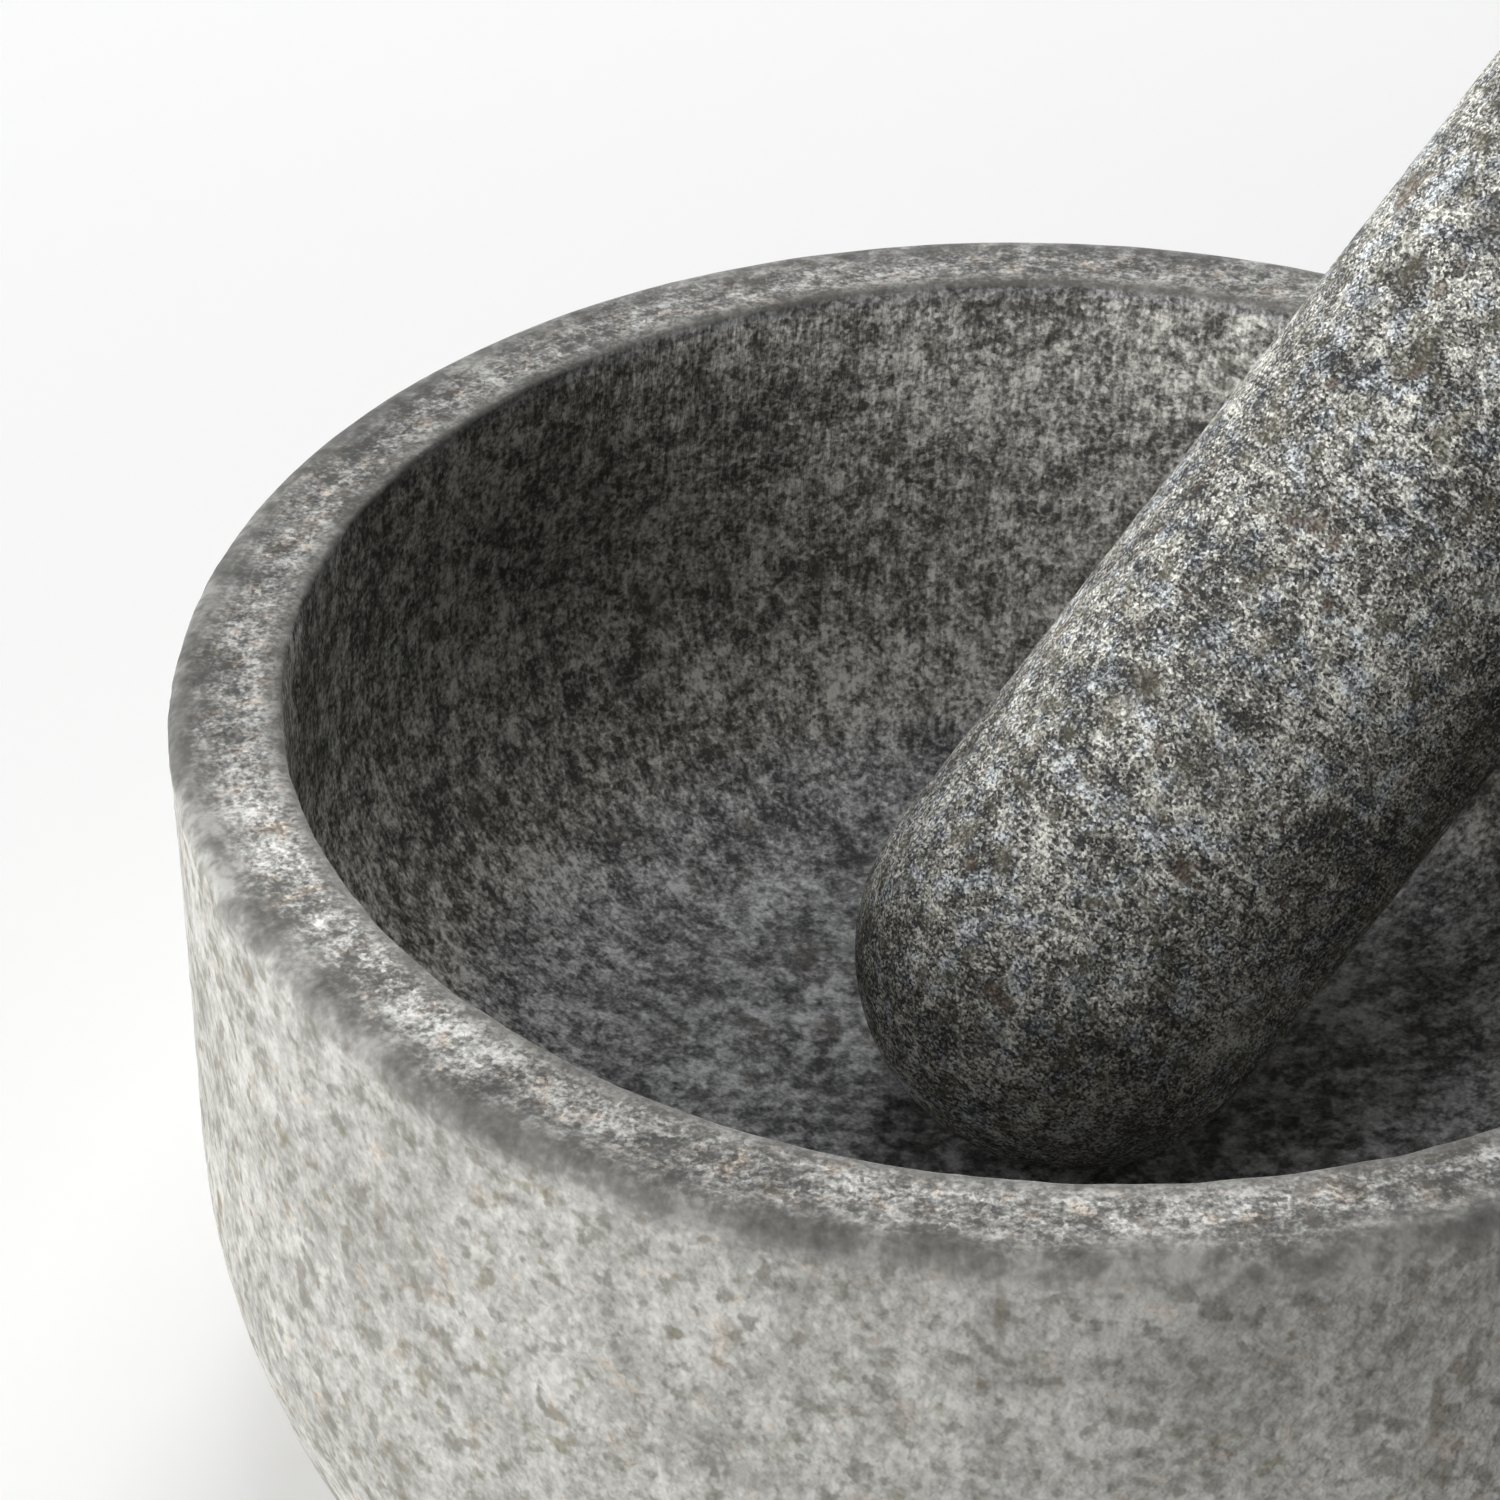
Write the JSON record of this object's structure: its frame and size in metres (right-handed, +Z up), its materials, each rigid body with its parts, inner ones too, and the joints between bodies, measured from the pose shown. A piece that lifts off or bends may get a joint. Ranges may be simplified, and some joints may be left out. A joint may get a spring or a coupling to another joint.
{
  "type": "mortar and pestle",
  "caption": "Molcajete: round granite mortar bowl with a thick flat rim and dished cavity, and a loose round-ended stone pestle leaning in it.",
  "frame": {"origin": "centre of the bowl's flat base", "axes": "+Z up along the bowl's axis; the pestle leans towards +X and +Y, 38.8 degrees from +X"},
  "size_m": [0.1709, 0.1604, 0.1478],
  "materials": {
    "bowl_stone": "rough sawn outside wall, honed rim, grooved cavity",
    "pestle_stone": "fine ground, matt"
  },
  "bodies": {
    "mortar": {"bowl": "bowl_stone"},
    "pestle": {"pestle": "pestle_stone"}
  },
  "joints": [
    {"name": "pestle_lift", "type": "slide", "parent": "mortar", "child": "pestle", "axis": [0.5709, 0.459, 0.6807], "range_m": [0, 0.15]}
  ]
}
